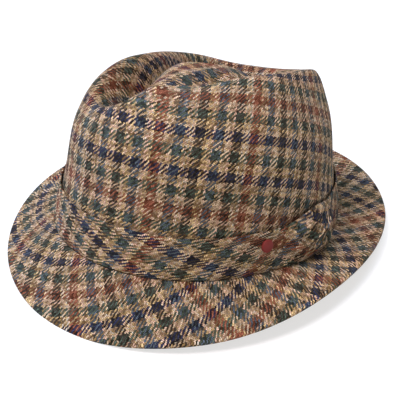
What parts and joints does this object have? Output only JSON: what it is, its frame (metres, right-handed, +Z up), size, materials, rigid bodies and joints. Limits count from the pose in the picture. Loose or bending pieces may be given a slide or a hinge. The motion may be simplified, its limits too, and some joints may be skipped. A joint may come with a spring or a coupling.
{
  "type": "trilby hat",
  "caption": "Soft trilby in checked wool cloth: pinched teardrop crown, narrow snap brim, folded cloth band with a gathered side bow and a small round enamel stud.",
  "frame": {"origin": "on the table under the middle of the hat's outline", "axes": "+Y toward the back of the hat (the front of the brim points to -Y), +X toward the wearer's left, where the bow is, +Z up from the table"},
  "size_m": [0.2294, 0.2728, 0.1264],
  "materials": {
    "tweed": "matt woven wool in a small check of navy, green, dark brown and rust threads on a beige ground",
    "enamel": "smooth dark red enamel"
  },
  "bodies": {
    "root": {"crown": "tweed", "brim": "tweed", "band": "tweed", "bow": "tweed", "stud": "enamel"}
  },
  "joints": []
}
